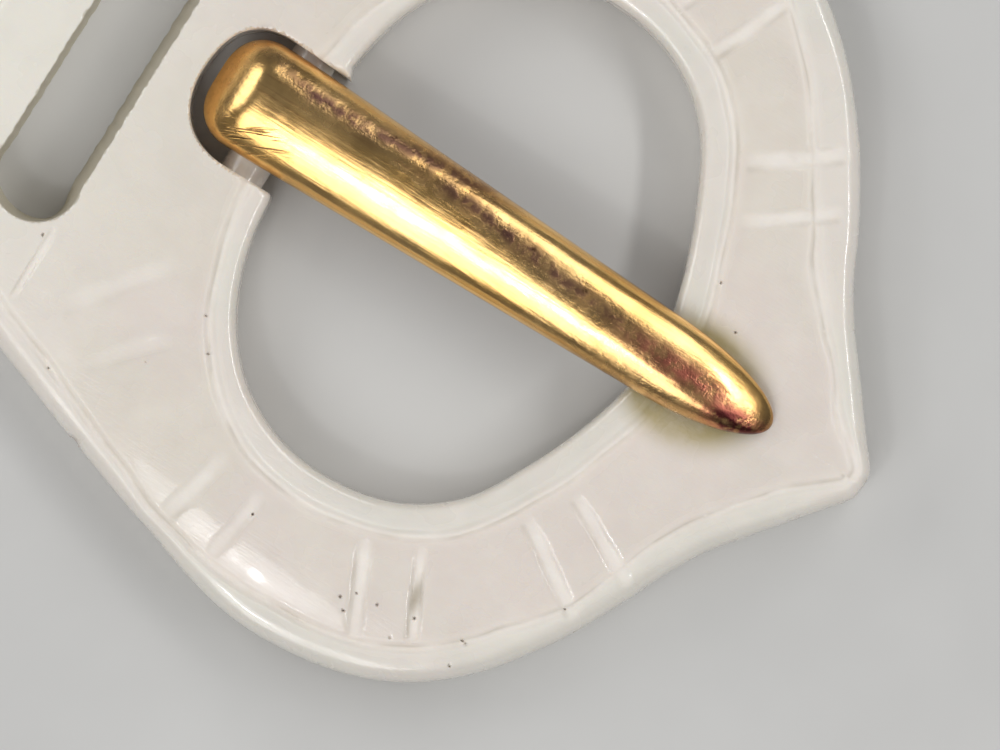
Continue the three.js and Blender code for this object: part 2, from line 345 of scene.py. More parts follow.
def line_inset(x, y):
    """How far in from the edge the line inside it runs."""
    near_x, near_inset = zip(*NEAR_LINE)
    far_x, far_inset = zip(*FAR_LINE)
    return np.where(y < 0, np.interp(x, near_x, near_inset), np.interp(x, far_x, far_inset))


def line_places(points, to_outer):
    """How far each point is in from the line inside the edge, and out from the opening's."""
    x, y = points.T
    edge_line = to_outer - line_inset(x, y) - 0.05 * waves(x, y, 4, seed=22)
    opening_line = distance_to(points, OVAL) - OPENING_LINE - 0.06 * waves(x, y, 5, seed=23)
    return edge_line, opening_line


def cut_depths(points):
    """Depth of the short cuts at each point, and how much painted shade each point gets along one
    side of a cut.
    """
    depth, shade = np.zeros(len(points)), np.zeros(len(points))
    for start, end, width, deep in CUTS:
        start, end = np.array(start), np.array(end)
        along = (end - start) / np.linalg.norm(end - start)
        across = np.array([-along[1], along[0]]) * np.sign(along[0] + 1e-6)
        side = 0.3 * width * across
        ragged = 1 + 0.14 * waves(points[:, 0], points[:, 1], 2.1, seed=27)
        from_end = (points - start) @ along
        from_end = np.minimum(from_end, np.linalg.norm(end - start) - from_end)
        cut = channel(distance_to_segment(points, start, end) * ragged, width)
        cut = cut * np.clip(0.35 + 0.65 * from_end / 1.1, 0.2, 1)
        depth = np.maximum(depth, deep * cut)
        # Painted shade along one side of each cut.
        dark = soft_cut(distance_to_segment(points, start - side, end - side), 0.5 * width)
        shade = np.maximum(shade, dark * deep / 0.26)
    return depth, shade


def carved_lines(points, to_outer):
    """Depth of the carved lines at each point, and the shallow slope that runs into them."""
    x, y = points.T
    edge_line, opening_line = line_places(points, to_outer)
    hand = 1 + 0.25 * waves(x, y, 4, seed=21)
    deeper = 0.14 + 0.08 * (y < 0) * np.clip((14 - x) / 6, 0, 1)
    depth = deeper * hand * soft_cut(edge_line, 0.8)
    depth = np.maximum(depth, 0.2 * hand * soft_cut(opening_line, 0.9))
    depth = np.maximum(depth, hand * cut_depths(points)[0])
    steep = soft_cut((x - 0.5) / 9.5, 2) * (y < 0)
    panel_slope = (0.14 + 0.2 * steep) * np.exp(-((edge_line / 1.4) ** 2))
    rim_slope = 0.08 * np.exp(-((edge_line / 0.9) ** 2))
    slope = rim_slope + (panel_slope - rim_slope) * soft_cut(np.clip(0.25 - edge_line, 0, 0.5), 1)
    slope += 0.1 * np.exp(-((opening_line / 1.2) ** 2))
    return depth, slope


def pit_depth(points):
    depth = np.zeros(len(points))
    for place, radius, deep in PITS:
        gap = np.linalg.norm(points - place, axis=1)
        depth = np.maximum(depth, deep * soft_cut(gap, 1.8 * radius))
    return depth


def opening_edge(points):
    """Width and drop of the rounding at the opening's edge, which is sharper in the notch."""
    x, y = points.T
    in_notch = np.clip((MOUTH_X - 0.2 - x) / 0.6, 0, 1) * (np.abs(y) < 5)
    return 0.6 - 0.42 * in_notch, 0.65 - 0.47 * in_notch


def face_height(points):
    """Height of the carved face over the plate's back."""
    x, y = points.T
    to_outer = distance_to(points, OUTER)
    to_opening = distance_to(points, OPENING)
    to_slot = distance_to(points, SLOT)
    depth, slope = carved_lines(points, to_outer)
    uneven = 0.02 * waves(x, y, 9, seed=24) + 0.008 * waves(x, y, 2.6, seed=25)
    near_side = np.clip(-y / 8, 0, 1)
    rim_width = 0.85 + 0.35 * near_side + 0.1 * waves(x, y, 7, seed=26)
    height = FACE_Z - 0.03 - depth - slope - pit_depth(points) + np.minimum(uneven, 0.03)
    height -= rounded_edge(to_outer, rim_width, 1.15 + 0.25 * near_side)
    height -= rounded_edge(to_opening, *opening_edge(points))
    height -= rounded_edge(to_slot, 0.12, 0.12)
    return height


def back_height(points):
    """Height of the flat back, with its edges broken."""
    to_edge = np.minimum(distance_to(points, OUTER), distance_to(points, OPENING))
    return rounded_edge(to_edge, 0.4, 0.4)


# ---------------------------------------------------------------- meshes of the plate

def ring_points(loops, depths):
    """Points at set depths in from each loop, where no other edge is nearer."""
    found = []
    for loop in loops:
        middle = (loop + np.roll(loop, -1, axis=0)) / 2
        for index, depth in enumerate(depths):
            base = loop if index % 2 else middle
            found.append(base + left_normals(base) * depth)
    points = np.vstack(found)
    wanted = np.concatenate([np.full(len(loop), depth) for loop in loops for depth in depths])
    gap = np.min([distance_to(points, loop) for loop in loops], axis=0)
    return points[gap > 0.93 * wanted]


def hexagon_grid(low, high, spacing):
    rows = np.arange(low[1], high[1], spacing * 0.866)
    columns = np.arange(low[0], high[0], spacing)
    x, y = np.meshgrid(columns, rows)
    x = x + (np.arange(len(rows)) % 2)[:, None] * spacing / 2
    return np.column_stack([x.ravel(), y.ravel()])


CUT_STEP = 0.22
LINE_STEP = 0.2
LINE_REACH = 0.6


def cut_points():
    """Points along each short cut and round each pit, fine enough to hold their shape."""
    found = []
    for start, end, width, _ in CUTS:
        start, end = np.array(start), np.array(end)
        length = np.linalg.norm(end - start)
        along = (end - start) / length
        across = np.array([-along[1], along[0]])
        for side in np.linspace(-0.6, 0.6, 11) * width:
            for step in np.arange(-0.5, length + 0.5, CUT_STEP):
                found.append(start + along * step + across * side)
    for place, radius, _ in PITS:
        found.append(np.array(place))
        for ring in (0.35, 0.7, 1.05, 1.4):
            for turn in np.linspace(0, 2 * math.pi, 10, endpoint=False):
                found.append(place + radius * ring * np.array([math.cos(turn), math.sin(turn)]))
    return np.array(found)


def line_points():
    """Rows of points along the two long carved lines, so that the mesh runs the way they do."""
    found = []
    for loop, side in ((evenly(OUTER, LINE_STEP), 1), (evenly(OVAL, LINE_STEP), -1)):
        normals = left_normals(loop) * side
        reach = np.full(len(loop), OPENING_LINE)
        for _ in range(4):
            place = loop + normals * reach[:, None]
            to_outer = reach if side == 1 else np.zeros(len(loop))
            edge_line, opening_line = line_places(place, to_outer)
            reach = reach - (edge_line if side == 1 else opening_line)
        for offset in np.linspace(-LINE_REACH, LINE_REACH, 13):
            found.append(loop + normals * (reach + offset)[:, None])
    return np.vstack(found)


def thinned(points, fixed, spacing):
    """Points with no two in one small cell, and none by a fixed point."""
    cells = np.floor(points / spacing).astype(int)
    taken = {tuple(cell) for cell in np.floor(fixed / spacing).astype(int)}
    kept = []
    for index, cell in enumerate(map(tuple, cells)):
        if cell not in taken:
            taken.add(cell)
            kept.append(index)
    return points[kept]


def in_plate(points, loops):
    """Whether each point is inside the first loop and outside the others."""
    found = inside(points, loops[0])
    for hole in loops[1:]:
        found &= ~inside(points, hole)
    return found


EDGE_CLEARANCE = 0.02
CELL = 0.085


def sheet(loops, fill, height):
    """A triangulated sheet bounded by the loops: points, triangles and each loop's points."""
    border = np.vstack(loops)
    fill = fill[in_plate(fill, loops)]
    gap = np.min([distance_to(fill, loop) for loop in loops], axis=0)
    fill = thinned(fill[gap > EDGE_CLEARANCE], border, CELL)
    points = np.vstack([border, fill])
    edges, numbers, first = [], [], 0
    for loop in loops:
        ring = np.arange(first, first + len(loop))
        edges += list(zip(ring.tolist(), np.roll(ring, -1).tolist()))
        numbers.append(ring)
        first += len(loop)
    result = delaunay_2d_cdt([tuple(p) for p in points], edges, [], 0, 1e-7)
    found = np.array([list(p) for p in result[0]])
    triangles = np.array(result[2])
    centres = found[triangles].mean(1)
    triangles = triangles[in_plate(centres, loops)]
    place = {original[0]: index for index, original in enumerate(result[3]) if original}
    numbers = [np.array([place[number] for number in ring]) for ring in numbers]
    return np.column_stack([found, height(found)]), triangles, numbers


WALL_ROWS = 7
FACE_GRID = 0.36
BACK_GRID = 1.1
LINE_CLEARANCE = 0.66
FACE_EDGE_DEPTHS = [0.02, 0.06, 0.13, 0.22, 0.34, 0.48, 0.64, 0.8]
FACE_EDGE_DEPTHS += list(np.arange(0.95, 3.2, 0.15))
BACK_EDGE_DEPTHS = [0.05, 0.12, 0.22, 0.32, 0.42, 0.58, 0.8]


def grid_fill(loops, depths, spacing):
    """Points for a sheet: rings inside its edges, and a grid over the rest."""
    grid = hexagon_grid(OUTER.min(0), OUTER.max(0), spacing)
    return np.vstack([ring_points(loops, depths), grid])


def face_fill(loops):
    """Points for the carved face, in rows along its lines and cuts."""
    others = grid_fill(loops, FACE_EDGE_DEPTHS, FACE_GRID)
    edge_line, opening_line = line_places(others, distance_to(others, OUTER))
    clear = (np.abs(edge_line) > LINE_CLEARANCE) & (np.abs(opening_line) > LINE_CLEARANCE)
    return np.vstack([line_points(), cut_points(), others[clear]])


def wall_points(loop, upper, lower):
    """The rows of points between a wall's two edges, a little rough."""
    normals, rows = left_normals(loop), []
    for row in range(1, WALL_ROWS):
        share = row / WALL_ROWS
        between = upper * (1 - share) + lower * share
        uneven = waves(between[:, 0] * 2, between[:, 1] * 2 + row * 3, 5, seed=31)
        rough = 0.012 * (1 + np.clip(uneven, -1, 1))
        between[:, :2] += normals * rough[:, None] * math.sin(math.pi * share)
        rows.append(between)
    return rows


def plate_geometry():
    """The whole plate as one closed mesh: carved face, back and walls."""
    loops, back_loops = [OUTER, OPENING, SLOT], [OUTER, OPENING, SLOT_BACK]
    top, top_triangles, top_rings = sheet(loops, face_fill(loops), face_height)
    back_fill = grid_fill(back_loops, BACK_EDGE_DEPTHS, BACK_GRID)
    back, back_triangles, back_rings = sheet(back_loops, back_fill, back_height)
    points = [top, back]
    triangles = [top_triangles, back_triangles[:, ::-1] + len(top)]
    count = len(top) + len(back)
    for loop, top_ring, back_ring in zip(loops, top_rings, back_rings):
        points += wall_points(loop, top[top_ring], back[back_ring])
        between = count + np.arange((WALL_ROWS - 1) * len(loop)).reshape(-1, len(loop))
        count += between.size
        rows = [top_ring, *between, back_ring + len(top)]
        for upper, lower in zip(rows, rows[1:]):
            upper_next, lower_next = np.roll(upper, -1), np.roll(lower, -1)
            triangles.append(np.column_stack([upper, lower, lower_next]))
            triangles.append(np.column_stack([upper, lower_next, upper_next]))
    return np.vstack(points), np.vstack(triangles)


def linked(name, data):
    """A new object in the scene."""
    made = bpy.data.objects.new(name, data)
    bpy.context.scene.collection.objects.link(made)
    return made


def mesh_object(name, points, faces):
    """A new mesh object from points in millimetres and each face's list of points."""
    mesh = bpy.data.meshes.new(name)
    mesh.from_pydata((np.asarray(points) * MM).tolist(), [], faces)
    mesh.update()
    return linked(name, mesh)


def points_of(made):
    """A mesh object's points, in millimetres."""
    flat = np.empty(len(made.data.vertices) * 3)
    made.data.vertices.foreach_get("co", flat)
    return flat.reshape(-1, 3) / MM


def tube_faces(rows, around, flip=False):
    """Faces of a closed tube with that many rows of points round it, and its two end caps."""
    faces = []
    for row in range(rows - 1):
        for step in range(around):
            a, b = row * around + step, row * around + (step + 1) % around
            others = (b, b + around, a + around)
            faces.append((a, *(others[::-1] if flip else others)))
    first, last = range(around), range((rows - 1) * around, rows * around)
    caps = (first, last[::-1]) if flip else (first[::-1], last)
    return faces + [tuple(cap) for cap in caps]


def lathe_along_y(name, profile, centre, sides=48):
    """A closed turned piece: (radius, y) pairs turned about the line along Y at centre's x, z."""
    points = []
    for radius, y in profile:
        for turn in np.linspace(0, 2 * math.pi, sides, endpoint=False):
            x, z = centre[0] + radius * math.sin(turn), centre[1] + radius * math.cos(turn)
            points.append((x, y, z))
    return mesh_object(name, points, tube_faces(len(profile), sides))


def combine(piece, tool, operation):
    """Joins tool to piece or cuts it away, and removes tool."""
    modifier = piece.modifiers.new(operation, "BOOLEAN")
    modifier.operation = operation
    modifier.solver = "MANIFOLD"
    modifier.object = tool
    evaluated = piece.evaluated_get(bpy.context.evaluated_depsgraph_get())
    mesh = bpy.data.meshes.new_from_object(evaluated)
    piece.modifiers.clear()
    piece.data = mesh
    bpy.data.objects.remove(tool)


def smooth(piece, degrees):
    """Shades a piece smooth, but for its edges sharper than this."""
    piece.data.polygons.foreach_set("use_smooth", [True] * len(piece.data.polygons))
    piece.data.set_sharp_from_angle(angle=math.radians(degrees))


LUG_RADIUS = 1.3
LUG_ROOT = 0.6
BORE_RADIUS = 0.4
BORE_MOUTH_RADIUS = 0.72
BORE_MOUTH_Y = -21.0
SIDE_PLAY = 0.1
HINGE_AXIS = (HINGE[0], HINGE[2])
# How far above the bore the wire has worn its mouth, which shows at the edge from above.
MOUTH_WEAR = (0.6, 1.05, 1.5)


def lug(name, inner, outer):
    """One lug beside the knuckle, from its free end out into the notch's wall."""
    r, away = LUG_RADIUS, 1 if outer > inner else -1
    profile = [(r - 0.14, inner), (r - 0.04, inner + 0.05 * away), (r, inner + 0.16 * away)]
    profile += [(r, inner + (outer - inner) * share) for share in (0.3, 0.6, 1.0)]
    return lathe_along_y(name, profile[::away], HINGE_AXIS)


def drill_for_pin(plate):
    """Cuts the pin's bore, and its worn mouth in the plate's near edge."""
    from_mouth = np.linalg.norm(OUTER - (HINGE[0], BORE_MOUTH_Y), axis=1)
    edge_y = OUTER[np.argmin(from_mouth), 1]
    bore = [(BORE_MOUTH_RADIUS, edge_y - 0.6), (BORE_MOUTH_RADIUS, edge_y - 0.02)]
    bore += [(BORE_RADIUS + 0.02, edge_y + 0.34), (BORE_RADIUS, edge_y + 0.5)]
    bore += [(BORE_RADIUS, pin_high[1] + SIDE_PLAY)]
    combine(plate, lathe_along_y("pin_bore", bore, HINGE_AXIS, 32), "DIFFERENCE")
    worn = [(0.2, edge_y - 0.6), (0.4, edge_y - 0.1), (0.36, edge_y + 0.2)]
    for rise in MOUTH_WEAR:
        place = (HINGE[0], HINGE[2] + rise)
        combine(plate, lathe_along_y("worn_mouth", worn, place, 24), "DIFFERENCE")


def carved_plate():
    points, triangles = plate_geometry()
    plate = mesh_object("carved_plate", points, triangles.tolist())
    near_end, far_end = knuckle_low[1] - SIDE_PLAY, knuckle_high[1] + SIDE_PLAY
    combine(plate, lug("near_lug", near_end, NOTCH_NEAR_Y - LUG_ROOT), "UNION")
    combine(plate, lug("far_lug", far_end, NOTCH_FAR_Y + LUG_ROOT), "UNION")
    drill_for_pin(plate)
    return plate


# ---------------------------------------------------------------- tongue, knuckle and pin

TONGUE_RISE = math.radians(3.1)
TONGUE_YAW = math.radians(-0.66)
TONGUE_Y = 0.45
TONGUE_HEEL = -3.88
TONGUE_TIP = 32.08
TONGUE_UNDERSIDE = 1.5
TONGUE_BEND = 24.1
HEEL_HALF_WIDTH = 3.19
FRONT_HALF_WIDTH = 2.41
HEEL_CORNER = 2.3
HEEL_BEVEL = 1.75
HEEL_EDGE = 0.45
HEEL_HEIGHT = 2.49
FRONT_HEIGHT = 2.09
TIP_LENGTH = 8.0
SHAFT_STEP = 0.22

# Where the crown's top runs: place along the tongue, and offset across it to +Y.
CROWN_LINE = [(-4, 0.85), (3, 0.85), (5.5, 1.1), (9, 1.3), (12, 1.15)]
CROWN_LINE += [(18, 0.35), (23, -0.1), (26, -0.35), (29, -0.75), (32, -0.8)]
# Where the band of painted dark reflection, also made duller, runs from the heel's far corner to
# the far edge: places in the frame.
DARK_BAND_LINE = [(-12.1, 2.9), (-9, 2.15), (-5.5, 2.2), (-1, 2.55), (4, 2.9)]


def tongue_section(along):
    """Half width, height, edge height and underside of the tongue at a place along it."""
    from_heel, from_tip = along - TONGUE_HEEL, TONGUE_TIP - along
    taper = min(max(along / TONGUE_BEND, 0), 1)
    half = HEEL_HALF_WIDTH + (FRONT_HALF_WIDTH - HEEL_HALF_WIDTH) * taper
    height = HEEL_HEIGHT + (FRONT_HEIGHT - HEEL_HEIGHT) * taper
    if from_heel < HEEL_CORNER:
        short = HEEL_CORNER - from_heel
        half += math.sqrt(max(0, HEEL_CORNER**2 - short**2)) - HEEL_CORNER
    bevel = HEEL_EDGE + (HEEL_HEIGHT - HEEL_EDGE) * from_heel / HEEL_BEVEL
    height = soft_minimum(bevel, height, 1.2)
    if from_tip < TIP_LENGTH:
        round_off = math.sqrt(max(0, 1 - (1 - from_tip / TIP_LENGTH) ** 2))
        half *= round_off
        height *= round_off
    under = TONGUE_UNDERSIDE + soft_minimum(0, TONGUE_BEND - along, 0.5) * math.tan(TONGUE_RISE)
    return half, height, min(HEEL_EDGE, 0.4 * height), under


def soft_minimum(a, b, blend):
    """The smaller of two values, with their crossing rounded over."""
    gap = max(blend - abs(a - b), 0) / blend
    return min(a, b) - gap * gap * blend / 4


def tongue_stations():
    """Places along the tongue, close together where its ends are rounded."""
    heel = TONGUE_HEEL + HEEL_CORNER * (1 - np.cos(np.linspace(0, math.pi / 2, 26)))
    tip_start = TONGUE_TIP - TIP_LENGTH
    shaft = np.arange(heel[-1] + SHAFT_STEP, tip_start, SHAFT_STEP)
    tip = tip_start + TIP_LENGTH * np.sin(np.linspace(0, math.pi / 2, 44))
    return np.concatenate([heel, shaft, tip[:-1], [TONGUE_TIP - 0.004]])


CROWN_POINTS = 56
BASE_POINTS = 20


def tongue_row(along):
    """The ring of points round the tongue at a place along it: crown, then underside."""
    half, height, edge, under = tongue_section(along)
    angles = np.linspace(0, math.pi, CROWN_POINTS)
    across = np.cos(angles)
    ridge = np.interp(along, *zip(*CROWN_LINE)) / max(half, 1.2)
    beyond, before = (across - ridge) / (1 - ridge), (ridge - across) / (1 + ridge)
    lean = np.where(across > ridge, beyond, before)
    crown = edge + (height - edge) * np.sqrt(np.clip(1 - lean**2, 0, 1)) ** 0.92
    worn = 0.012 * waves(np.full(CROWN_POINTS, along), across * half, 3.2, seed=41)
    crown = crown + np.minimum(worn, 0) * np.sin(angles)
    base = np.linspace(-1, 1, BASE_POINTS + 2)[1:-1] * 0.97
    sideways = np.concatenate([across, base]) * half
    upwards = under + np.concatenate([crown, np.zeros(BASE_POINTS)])
    return np.column_stack([np.full(len(sideways), along), sideways, upwards])


def gilt_tongue():
    """A closed loft of crowned sections, in the hinge's own place and tilt."""
    rows = [tongue_row(along) for along in tongue_stations()]
    turn = Matrix.Rotation(-TONGUE_RISE, 4, "Y") @ Matrix.Translation((0, TONGUE_Y, 0))
    turn = Matrix.Translation((HINGE[0], 0, HINGE[2])) @ turn @ Matrix.Rotation(TONGUE_YAW, 4, "Z")
    placed = np.vstack(rows) @ np.array(turn.to_3x3()).T + np.array(turn.translation)
    faces = tube_faces(len(rows), CROWN_POINTS + BASE_POINTS, flip=True)
    return mesh_object("gilt_tongue", placed, faces)


KNUCKLE_RADIUS = 1.19


def saddle(low, high):
    """The solder that fills the corner between the knuckle and the heel."""
    top = knuckle_high[2] - 0.06 - HINGE[2]
    section = [(-1.25, top), (-0.98, top - 0.25), (-0.86, top - 0.6), (-0.8, 0)]
    section += [(-x, z) for x, z in section[::-1]]
    points = [(HINGE[0] + x, y, HINGE[2] + z) for y in (low, high) for x, z in section]
    return mesh_object("saddle", points, tube_faces(2, len(section), flip=True))


def soldered_knuckle():
    """The tube under the heel, with its saddle of solder and its bore."""
    r, low, high = KNUCKLE_RADIUS, knuckle_low[1] + 0.01, knuckle_high[1] - 0.01
    profile = [(r - 0.1, low), (r, low + 0.1), (r, high - 0.1), (r - 0.1, high)]
    knuckle = lathe_along_y("soldered_knuckle", profile, HINGE_AXIS, 56)
    combine(knuckle, saddle(low + 0.06, high - 0.06), "UNION")
    bore = [(BORE_RADIUS, low - 0.5), (BORE_RADIUS, high + 0.5)]
    combine(knuckle, lathe_along_y("knuckle_bore", bore, HINGE_AXIS, 40), "DIFFERENCE")
    return knuckle


def wire_pin():
    """The drawn steel wire, with a filed near end and slight rust swellings along it."""
    radius = (pin_high[0] - pin_low[0]) / 2 - 0.005
    low, high = pin_low[1] + 0.01, pin_high[1] - 0.01
    profile = [(0.12, low), (radius - 0.12, low + 0.03), (radius - 0.02, low + 0.14)]
    for y in np.arange(low + 0.3, high - 0.2, 0.25):
        profile.append((radius - 0.012 * (1 + math.sin(y * 5) * math.cos(y * 2.3)), y))
    profile += [(radius - 0.02, high - 0.14), (radius - 0.12, high - 0.03), (0.12, high)]
    return lathe_along_y("wire_pin", profile, HINGE_AXIS, 32)


# ---------------------------------------------------------------- materials

class Look:
    """A node material under construction."""

    def __init__(self, name):
        self.material = bpy.data.materials.new(name)
        self.material.use_nodes = True
        self.tree = self.material.node_tree
        self.tree.nodes.clear()

    def add(self, kind, settings=None, output=0, numbered=None, **named):
        """Adds a node and returns one of its outputs.

        Inputs go by their name, with _ for a space, or by their number where names repeat.
        """
        node = self.tree.nodes.new("ShaderNode" + kind)
        for key, value in (settings or {}).items():
            setattr(node, key, value)
        inputs = {key.replace("_", " "): value for key, value in named.items()}
        for key, value in {**inputs, **(numbered or {})}.items():
            if isinstance(value, bpy.types.NodeSocket):
                self.tree.links.new(value, node.inputs[key])
            else:
                node.inputs[key].default_value = value
        return node.outputs[output]

    def place(self):
        return self.add("TexCoord", output=3)

    def attribute(self, name):
        return self.add("Attribute", {"attribute_name": name}, output=2)

    def noise(self, vector, scale, detail=3.0, roughness=0.5, distortion=0.0):
        return self.add(
            "TexNoise", Vector=vector, Scale=scale,
            Detail=detail, Roughness=roughness, Distortion=distortion,
        )

    def ramp(self, value, low, high, to_low=0.0, to_high=1.0):
        return self.add(
            "MapRange", {"interpolation_type": "SMOOTHSTEP"},
            Value=value, From_Min=low, From_Max=high, To_Min=to_low, To_Max=to_high,
        )

    def mix(self, share, a, b):
        return self.add("Mix", {"data_type": "RGBA"}, 2, {0: share, 6: a, 7: b})

    def math(self, operation, a, b):
        return self.add("Math", {"operation": operation}, 0, {0: a, 1: b})

    def times(self, a, b):
        return self.math("MULTIPLY", a, b)

    def bump(self, height, distance, strength=1.0, normal=None):
        inputs = {"Height": height, "Distance": distance, "Strength": strength}
        if normal is not None:
            inputs["Normal"] = normal
        return self.add("Bump", **inputs)

    def finish(self, **inputs):
        surface = self.add("BsdfPrincipled", **inputs)
        output = self.tree.nodes.new("ShaderNodeOutputMaterial")
        self.tree.links.new(surface, output.inputs["Surface"])
        return self.material


def rgb(red, green, blue):
    """A colour given as it is seen, from 0 to 255, made linear for a node."""
    def linear(value):
        share = value / 255
        return share / 12.92 if share <= 0.04045 else ((share + 0.055) / 1.055) ** 2.4
    return linear(red), linear(green), linear(blue), 1.0


def shell_colour(look, place):
    """Warm panels, paler rims, frosted cuts, soiling and painted shade in the carving, pinholes,
    rust, sawn walls, and a painted yellow-green reflection of the gilt tongue round its tip.
    """
    drift = look.noise(place, 95, 2.5, 0.5, 0.6)
    blush = look.noise(place, 140, 2, 0.55, 0.3)
    cloud = look.noise(place, 420, 4, 0.6)
    panel = look.mix(look.ramp(drift, 0.38, 0.62), rgb(234, 225, 212), rgb(236, 225, 215))
    strap = look.ramp(look.add("SeparateXYZ", Vector=place), -0.026, -0.008, 1, 0)
    panel = look.mix(look.times(strap, 0.75), panel, rgb(250, 247, 234))
    rim = look.mix(look.ramp(blush, 0.4, 0.62), rgb(238, 230, 220), rgb(234, 229, 218))
    colour = look.mix(look.attribute("rim"), panel, rim)
    colour = look.mix(look.ramp(cloud, 0.3, 0.75, 0, 0.3), colour, rgb(246, 240, 229))
    frost = look.times(look.attribute("frost"), look.ramp(cloud, 0.3, 0.65, 0.3, 0.75))
    colour = look.mix(frost, colour, rgb(250, 243, 234))
    patches = look.ramp(look.noise(place, 380, 2), 0.3, 0.7, 0.2, 1.0)
    # Soiling in one cut, and painted shade along one side of the carved lines and cuts, both in
    # this olive-brown.
    colour = look.mix(look.times(look.attribute("grime_and_painted_shade"), patches), colour, rgb(146, 132, 100))
    # A painted yellow-green reflection of the gilt tongue on the plate round its tip.
    painted_glow = look.times(look.attribute("painted_gold_reflection"), look.ramp(cloud, 0.3, 0.6, 0.6, 0.88))
    colour = look.mix(painted_glow, colour, rgb(184, 168, 112))
    for mark, share, tone in (
        ("pit", 0.55, rgb(84, 70, 58)),
        ("rust", 0.85, rgb(110, 62, 34)),
        ("sawn", 0.6, rgb(168, 158, 128)),
    ):
        colour = look.mix(look.times(look.attribute(mark), share), colour, tone)
    return colour


def shell_gloss(look, place):
    """Roughness and coat: patchy polish, matt in the cuts and where it was sawn."""
    sawn, matt = look.attribute("sawn"), look.attribute("matt")
    polish = look.ramp(look.noise(place, 260, 3, 0.6), 0.3, 0.7, 0.2, 0.36)
    dull = look.math("ADD", look.times(sawn, 0.35), look.times(matt, 0.22))
    patchy = look.ramp(look.noise(place, 300, 2, 0.5), 0.42, 0.6, 1.0, 0.3)
    uncoated = look.times(look.math("MAXIMUM", matt, sawn), 0.85)
    coat = look.times(patchy, look.math("SUBTRACT", 0.9, uncoated))
    return look.math("ADD", polish, dull), coat


def shell_relief(look, place):
    """Polishing strokes, slight waves, grain, and saw marks in the slot."""
    rub = look.add("Mapping", Vector=place, Rotation=(0, 0, 0.3), Scale=(1, 7, 1))
    normal = look.bump(look.noise(rub, 900, 2, 0.6), 0.000022, 0.6)
    normal = look.bump(look.noise(place, 520, 3, 0.55), 0.00003, 0.5, normal)
    normal = look.bump(look.noise(place, 2600, 3, 0.6), 0.000008, 0.5, normal)
    saw = look.add(
        "TexWave", {"bands_direction": "Z"}, Vector=place, Scale=900, Distortion=6, Detail=2
    )
    return look.bump(look.times(saw, look.attribute("sawn")), 0.00003, 0.8, normal)


def shell_look():
    look = Look("shell")
    place = look.place()
    colour = shell_colour(look, place)
    roughness, coat = shell_gloss(look, place)
    return look.finish(
        Base_Color=colour, Roughness=roughness, Normal=shell_relief(look, place), IOR=1.53,
        Subsurface_Weight=0.22, Subsurface_Radius=(1.0, 0.8, 0.55), Subsurface_Scale=0.0005,
        Coat_Weight=coat, Coat_Roughness=0.08, Coat_IOR=1.52,
    )


def gilt_look():
    """Old gilding: streaky polish, dull pitted bands painted with dark reflection, painted reddish
    reflections, scratches and edges coloured darker low down.
    """
    look = Look("gilt")
    place = look.place()
    wide = look.noise(place, 170, 3, 0.55, 0.4)
    fine = look.noise(place, 1500, 4, 0.65)
    drawn = look.add("Mapping", Vector=place, Rotation=(0, 0, 0.02), Scale=(1, 16, 16))
    lines = look.noise(drawn, 260, 3, 0.6)
    # The worn attribute marks where dark reflections are painted, and where the gilding is made
    # duller and pitted.
    worn = look.attribute("worn")
    dark_reflection_band = look.times(worn, look.ramp(fine, 0.32, 0.6, 0.45, 1.0))
    slanted = look.add(
        "Mapping", {"vector_type": "TEXTURE"},
        Vector=place, Rotation=(0, 0, 0.42), Scale=(1, 0.045, 1),
    )
    scratches = look.ramp(look.noise(slanted, 330, 2, 0.5), 0.55, 0.63)
    scratches = look.times(scratches, look.attribute("scratched"))
    colour = gilt_colour(look, place, wide, fine, lines, worn, dark_reflection_band)
    colour = look.mix(look.times(scratches, 0.85), colour, rgb(84, 56, 38))
    colour = look.mix(look.times(scratches, 0.6), colour, rgb(120, 84, 52))
    roughness = look.ramp(look.noise(place, 480, 4, 0.6), 0.3, 0.7, 0.15, 0.27)
    roughness = look.math("ADD", roughness, look.times(dark_reflection_band, 0.2))
    long_dents = look.add("Mapping", Vector=place, Scale=(1, 2.5, 2.5))
    normal = look.bump(lines, 0.000016, 0.7)
    normal = look.bump(look.noise(long_dents, 240, 2, 0.5), 0.00004, 0.3, normal)
    normal = look.bump(fine, 0.00001, 0.6, normal)
    normal = look.bump(look.times(scratches, -1.0), 0.00004, 1.0, normal)
    normal = look.bump(look.times(dark_reflection_band, fine), 0.00006, 0.8, normal)
    return look.finish(Base_Color=colour, Metallic=1.0, Roughness=roughness, Normal=normal)


